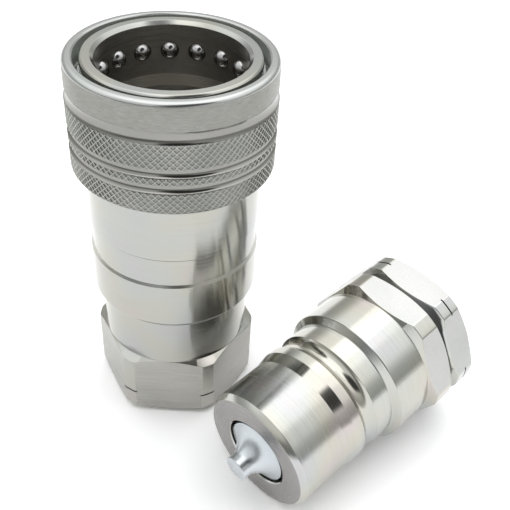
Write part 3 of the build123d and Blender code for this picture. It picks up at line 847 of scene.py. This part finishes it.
# Retaining ring, balls, seals and spring of the socket
ring_gap = 11.0
ring_gap_clock = 139.0
piece_from([ring_mesh(ring_r, ring_z, wire_r, ring_gap_clock + ring_gap / 2, 360 - ring_gap)],
           "ring_of_wire", ground_frame, "coupling_halves", [ring_wire],
           "sleeve_retaining_ring")
ball_reach = 1.60
ball_centre_r = mouth_r - ball_reach + ball_r
ball_mesh = bmesh.new()
bmesh.ops.create_uvsphere(ball_mesh, u_segments=48, v_segments=28, radius=ball_r * MM)
for number, turn in enumerate(ball_turns, 1):
    place = Matrix.Translation((ball_centre_r * cos(turn) * MM, ball_centre_r * sin(turn) * MM, ball_z * MM))
    piece_from([ball_mesh.copy()], f"steel_ball_{number:02d}", place, f"ball_{number:02d}",
               [ball_chrome], f"locking_ball_{number:02d}")
piece_from([ring_mesh(nose_seal_r, seal_groove_floor_z + 1.675, nose_seal_wire_r)], "seal_of_nose",
           ground_frame, "coupling_halves", [black_rubber], "bore_seal")
backup_low_z = seal_groove_top_z - 1.32
backup_high_z = seal_groove_top_z - seal_play
backup_inner_r = seal_bore_r + seal_play
backup_outer_r = seal_groove_r - seal_play
backup = turned_mesh([
    (backup_inner_r, backup_low_z, 0.1), (backup_outer_r, backup_low_z, 0.1),
    (backup_outer_r, backup_high_z, 0.1), (backup_inner_r, backup_high_z, 0.1),
])
piece_from([backup], "backup_of_seal", ground_frame, "coupling_halves", [backup_white],
           "bore_backup_ring")
sleeve_coil_r = body_guide_r + 0.85
sleeve_coil_wire = 1.50
sleeve_coil_turns = 4.2
sleeve_coil = piece_from(
    [coil_mesh(spring_seat_z, land_base_z, sleeve_coil_r, sleeve_coil_wire, sleeve_coil_turns)],
    "coil_of_sleeve", ground_frame, "sleeve_seat", [spring_wire], "sleeve_spring"
)
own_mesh(sleeve_coil)

# Valves, alike in both halves, with heights from the face that the halves share
valve_rim_r = valve_hole_r + 1.60
valve_face_r = valve_hole_r - 0.30
valve_play = 0.25
cone_r = valve_hole_r - valve_land - valve_play * sqrt(2)
head_back = valve_rim_r - cone_r + 2.0
head_bevel = 0.9
valve_seal_wire_r = 0.80
valve_seal_sink = 0.65 / sqrt(2)
valve_seal_r = (valve_face_r + valve_rim_r) / 2 - valve_seal_sink
valve_seal_s = (valve_face_r + valve_rim_r) / 2 - cone_r + valve_seal_sink
pin_r = 3.35
pin_end = -6.90
hub_r = 5.60
hub_back = head_back + 2.0
stem_r = 3.50
stem_bevel = 0.40
stem_reach = guide_length + 1.0
plug_guide_start = 38.50
valve_coil_r = 6.60
valve_coil_wire = 1.30


def poppet_mesh(guide_start):
    """A valve head with its pin and stem."""
    return turned_mesh([
        (0.0, pin_end), (pin_r, pin_end, 0.25),
        *arc((pin_r, -4.70), (valve_face_r - 0.52, 0.50), 0.88, 16),
        (valve_face_r - 0.50, valve_face_r - cone_r, 0.08), (valve_rim_r, valve_rim_r - cone_r, 0.2),
        (valve_rim_r, head_back - head_bevel, 0.2), (valve_rim_r - head_bevel, head_back, 0.2),
        (hub_r, head_back, 0.15), (hub_r, hub_back, 0.2), (stem_r, hub_back, 0.2),
        (stem_r, guide_start + stem_reach - stem_bevel, 0.1),
        (stem_r - stem_bevel, guide_start + stem_reach, 0.1), (0.0, guide_start + stem_reach),
    ], angles_round(VALVE_SIDES))


for half, stand, guide_start, turns, axis in (
    ("socket", socket_valve_frame, seat_face_z - spigot_end_z, 7, Vector((0, 0, -1))),
    ("plug", plug_frame, plug_guide_start, 9, plug_axis),
):
    piece_from([poppet_mesh(guide_start)], f"{half}_valve_head", stand, f"{half}_poppet",
               [blue_satin], f"{half}_valve", sharp=28)
    piece_from([ring_mesh(valve_seal_r, valve_seal_s, valve_seal_wire_r)], f"{half}_valve_ring", stand,
               f"{half}_poppet", [black_rubber], f"{half}_valve_seal")
    valve_coil = piece_from(
        [coil_mesh(head_back, guide_start, valve_coil_r, valve_coil_wire, turns)], f"{half}_valve_coil",
        stand, "coupling_halves", [spring_wire], f"{half}_valve_spring"
    )
    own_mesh(valve_coil)

# Plug body, with places along its axis from the nose face
plug_clock = 4.24
nose_bevel = 1.10
nose_end = 16.10
shoulder_r = nose_r + 0.80
shoulder_start = 19.30
shoulder_end = 22.25
groove_radius = 2.90
groove_depth = 1.60
groove_half = sqrt(groove_radius**2 - (groove_radius - groove_depth) ** 2)
collar_start = shoulder_end + 2 * groove_half
collar_end = collar_start + 6.05
body_front = collar_end + 1.40
body_rear = body_front + 11.57
plug_body_r = flats_r - 0.45
plug_turned_r = flats_r + 2.05
hexagon_front = body_rear + (plug_turned_r - plug_body_r) / bevel_slope
hexagon_rear = hexagon_front + 6.30
seam_s = hexagon_rear + 1.70
seam_groove_r = plug_turned_r - (seam_s - hexagon_rear) * bevel_slope
joint_depth = 14.40
guide_seat_s = seam_s - joint_depth
guide_front_s = guide_seat_s - guide_length
guide_pocket_r = 16.50
screw_r = 18.15
plug_chamber_r = nose_r - 3.85
limit = hexagon_limit(hexagon_angles, plug_turned_r, plug_clock)
plug_front = turned_mesh([
    (valve_hole_r, 0.35), (valve_hole_r + 0.3, 0.0, 0.06), (nose_r - nose_bevel, 0.0, 0.10),
    (nose_r, 1.50, 0.15), (nose_r, nose_end, 0.2),
    (shoulder_r, shoulder_start, 0.4), (shoulder_r, shoulder_end - 0.02, 0.10),
    *arc((shoulder_r - 0.02, shoulder_end), (shoulder_r - 0.02, collar_start), groove_depth - 0.02, 16),
    (shoulder_r, collar_start + 0.02, 0.10), (shoulder_r, collar_end, 0.35), (plug_body_r, body_front, 0.35),
    (plug_body_r, body_rear, 0.25), (limit, body_rear + (limit - plug_body_r) / bevel_slope, 0.22),
    (limit, hexagon_rear + (plug_turned_r - limit) / bevel_slope, 0.22), (seam_groove_r, seam_s, 0.12),
    (screw_r + 0.05, seam_s), (screw_r + 0.05, guide_seat_s), (guide_pocket_r, guide_seat_s),
    (guide_pocket_r, guide_front_s), (plug_chamber_r, guide_front_s),
    (plug_chamber_r, valve_land + plug_chamber_r - valve_hole_r, 0.3), (valve_hole_r, valve_land, 0.1),
], hexagon_angles)
plug_body = piece_from(
    [plug_front], "plug_front", plug_frame, "coupling_halves",
    [bright_plug, satin_flat, face_painted_shade, nose_turned, recess_painted_shade], "plug_body", baked=True
)

# Plug adapter
rear_front = hexagon_rear + 3.40
rear_rear = rear_front + 6.40
plug_end = rear_rear + 1.20
tick_s = rear_front + 3.45
tick_half = 0.24
tick = np.minimum(limit, plug_turned_r - tick_depth)
plug_back = turned_mesh([
    (flow_r, guide_seat_s, 0.3), (screw_r, guide_seat_s, 0.4), (screw_r, seam_s),
    (seam_groove_r, seam_s, 0.12),
    (limit, rear_front - (plug_turned_r - limit) / bevel_slope, 0.22),
    (limit, tick_s - tick_half), (tick, tick_s - tick_half), (tick, tick_s + tick_half),
    (limit, tick_s + tick_half), (limit, rear_rear + (plug_turned_r - limit) / bevel_slope, 0.25),
    (plug_turned_r - (plug_end - rear_rear) * bevel_slope, plug_end, 0.2), (port_mouth_r, plug_end, 0.1),
    (port_mouth_r + thread_wall, plug_end - 0.45), (port_mouth_r + thread_wall, plug_end - port_depth),
    (flow_r, plug_end - port_depth, 0.1),
], hexagon_angles)
plug_adapter = piece_from(
    [plug_back, port_thread(plug_end, -1)], "plug_rear", plug_frame, "coupling_halves",
    [bright_plug, satin_flat, tick_painted_shade], "plug_adapter", baked=True
)
back_to_plug = plug_frame.inverted()


def along_plug(face):
    """A face's radius and place along the plug's axis, and how far it looks towards the port."""
    spot = (back_to_plug @ face.center) / MM
    return spot.xy.length, spot.z, face.normal.dot(plug_axis)


def plug_body_finish(face):
    """A nose face darkened with painted shade, a turned nose, dull flats and painted shade in the recess
    behind the front hexagon.
    """
    radius, place, lean = along_plug(face)
    if lean < -0.9 and place < 0.2 and radius > valve_hole_r:
        return face_painted_shade
    if 1.6 < place < nose_end - 0.1 and radius > nose_r - 0.2:
        return nose_turned
    if hexagon_rear < place < seam_s and lean > 0.3:
        return recess_painted_shade
    return satin_flat if place > body_rear and on_flat(lean, radius, plug_turned_r) else bright_plug


def plug_adapter_finish(face):
    """Dull flats, and ticks dark with painted shade."""
    radius, place, lean = along_plug(face)
    if in_tick(place, radius, tick_s - tick_half, tick_s + tick_half, plug_turned_r):
        return tick_painted_shade
    return satin_flat if on_flat(lean, radius, plug_turned_r) else bright_plug


finish_faces(plug_body, plug_body_finish)
finish_faces(plug_adapter, plug_adapter_finish)

# CAD nodes that stay, with their finish
for name, material in (
    ("socket_valve_guide", satin_turned), ("plug_valve_guide", satin_turned),
    ("socket_joint_seal", black_rubber), ("plug_joint_seal", black_rubber),
):
    for entry in bpy.data.objects[name].material_slots:
        entry.material = material

# Camera
camera_place = Vector((-103.55, -127.88, 178.81)) * MM
heading, pitch, roll = radians(43.18), radians(39.31), radians(4.10)
camera_data = bpy.data.cameras.new("camera")
camera_data.lens = 53.0
camera_data.sensor_width = 36.0
camera_data.clip_start = 0.01
camera_data.clip_end = 20
camera = bpy.data.objects.new("camera", camera_data)
forward = Vector((cos(heading) * cos(pitch), sin(heading) * cos(pitch), -sin(pitch)))
level = Vector((sin(heading), -cos(heading), 0))
upright = level.cross(forward)
right = level * cos(roll) + upright * sin(roll)
up = upright * cos(roll) - level * sin(roll)
camera.matrix_world = Matrix.Translation(camera_place) @ Matrix((right, up, -forward)).transposed().to_4x4()
bpy.context.scene.collection.objects.link(camera)
bpy.context.scene.camera = camera

# Floor: light grey to the light that it throws back, white to the camera and in reflections
floor_r = 3000
floor_drop = 0.1
floor_white = 1.16
floor_mesh = bmesh.new()
bmesh.ops.create_circle(floor_mesh, cap_ends=True, segments=96, radius=floor_r * MM)
floor_data = bpy.data.meshes.new("floor")
floor_mesh.to_mesh(floor_data)
floor_mesh.free()
floor = bpy.data.objects.new("floor", floor_data)
floor.location.z = -floor_drop * MM
bpy.context.scene.collection.objects.link(floor)
material, tree, shader = new_material("floor_white")
shader.inputs["Base Color"].default_value = (0.80, 0.80, 0.80, 1)
shader.inputs["Roughness"].default_value = 0.9
shader.inputs["Specular IOR Level"].default_value = 0.0
rays = tree.nodes.new("ShaderNodeLightPath").outputs
seen = larger(tree, rays["Is Camera Ray"], larger(tree, rays["Is Glossy Ray"], rays["Is Transmission Ray"]))
pale = tree.nodes.new("ShaderNodeBsdfDiffuse")
pale.inputs["Color"].default_value = (floor_white, floor_white, floor_white * 1.01, 1)
mixed = tree.nodes.new("ShaderNodeMixShader")
tree.links.new(seen, mixed.inputs[0])
tree.links.new(shader.outputs[0], mixed.inputs[1])
tree.links.new(pale.outputs[0], mixed.inputs[2])
tree.links.new(mixed.outputs[0], tree.nodes["Material Output"].inputs["Surface"])
floor_data.materials.append(material)

# World: a plain room, pale at the horizon, grey just above it and paler again upward, with a softbox for
# a ceiling, a brighter far side, two dark patches round the camera and a shaded band low behind it
world = bpy.data.worlds.new("studio")
world.use_nodes = True
bpy.context.scene.world = world
tree = world.node_tree
direction = tree.nodes.new("ShaderNodeTexCoord").outputs["Generated"]


def towards(axis):
    """How nearly a direction of the room points along the axis: 1 when it does, and -1 at its back."""
    return vector_node(tree, "DOT_PRODUCT", direction, axis).outputs["Value"]


height = towards((0, 0, 1))
wall = ramp(tree, height, [
    (0.0, (0.83, 0.83, 0.83)), (0.03, (0.80, 0.80, 0.80)), (0.08, (0.52, 0.52, 0.51)),
    (0.14, (0.41, 0.42, 0.40)), (0.36, (0.56, 0.57, 0.55)), (0.56, (0.84, 0.85, 0.84)),
    (1.0, (0.96, 0.96, 0.96)),
])
dark = larger(tree, smooth(tree, towards((-0.452, -0.646, 0.616)), 0.925, 0.978),
              smooth(tree, towards((-0.166, -0.621, 0.766)), 0.905, 0.965))
low_band = math_node(tree, "SUBTRACT", smooth(tree, height, 0.04, 0.12), smooth(tree, height, 0.30, 0.45))
near_side = times(tree, smooth(tree, towards((-0.9205, -0.3907, 0.0)), 0.60, 0.95), low_band)
softbox = smooth(tree, towards((0.076, 0.021, 0.997)), 0.78, 0.87)
far_side = times(tree, smooth(tree, towards((0.731, 0.682, 0.0)), -0.45, 0.05),
                 smooth(tree, height, 0.30, 0.62))
added = larger(tree, times(tree, softbox, 0.98), times(tree, far_side, 0.50))
taken = larger(tree, times(tree, dark, 0.94), times(tree, near_side, 0.5))
room_level = 1.25
strength = times(tree, math_node(tree, "ADD", room_level, added), math_node(tree, "SUBTRACT", 1.0, taken))
tree.links.new(scaled(tree, wall, strength), tree.nodes["Background"].inputs["Color"])

# Key lamp, high on the far right
lamp_place = Vector((600, 140, 820)) * MM
lamp_target = Vector((0, -20, 40)) * MM
lamp_size = 500
lamp_data = bpy.data.lights.new("key", "AREA")
lamp_data.shape = "RECTANGLE"
lamp_data.size = lamp_size * MM
lamp_data.size_y = lamp_size * MM
lamp_data.energy = 0.36
lamp = bpy.data.objects.new("key", lamp_data)
aim = (lamp_target - lamp_place).to_track_quat("-Z", "Y").to_matrix().to_4x4()
lamp.matrix_world = Matrix.Translation(lamp_place) @ aim
bpy.context.scene.collection.objects.link(lamp)

bpy.context.scene.view_settings.view_transform = "Standard"
